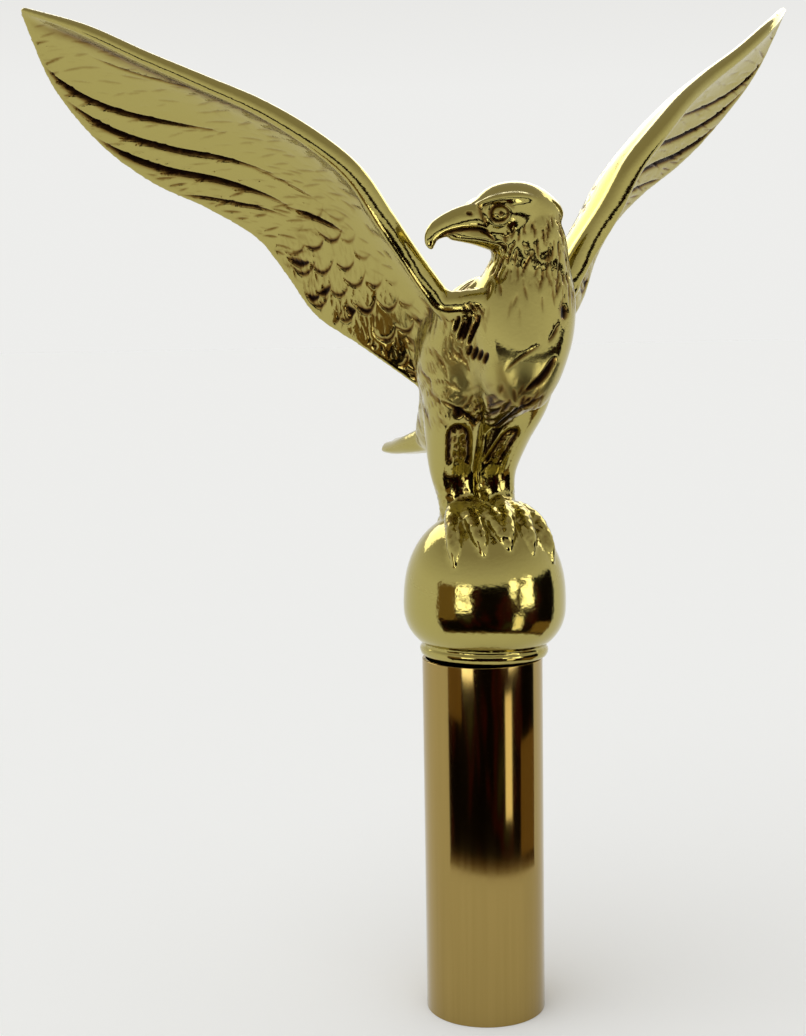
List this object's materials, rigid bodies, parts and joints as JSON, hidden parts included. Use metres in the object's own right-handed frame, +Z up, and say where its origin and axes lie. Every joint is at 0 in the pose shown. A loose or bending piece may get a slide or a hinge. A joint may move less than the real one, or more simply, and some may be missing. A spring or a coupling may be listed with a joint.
{
  "type": "eagle flagpole finial",
  "caption": "Gold-plated cast eagle with raised wings on a ball, over a plain brass tube ferrule that slips on a flagpole.",
  "frame": {"origin": "middle of the whole object's box, at the height of the ferrule's open end", "axes": "+Z up along the ferrule, -Y the way the eagle's breast faces, -X the way its head is turned"},
  "size_m": [0.184, 0.0728, 0.2329],
  "materials": {
    "cast_gold": "polished",
    "tube_brass": "polished"
  },
  "bodies": {
    "root": {"ferrule": "tube_brass", "eagle_casting": "cast_gold"}
  },
  "joints": []
}
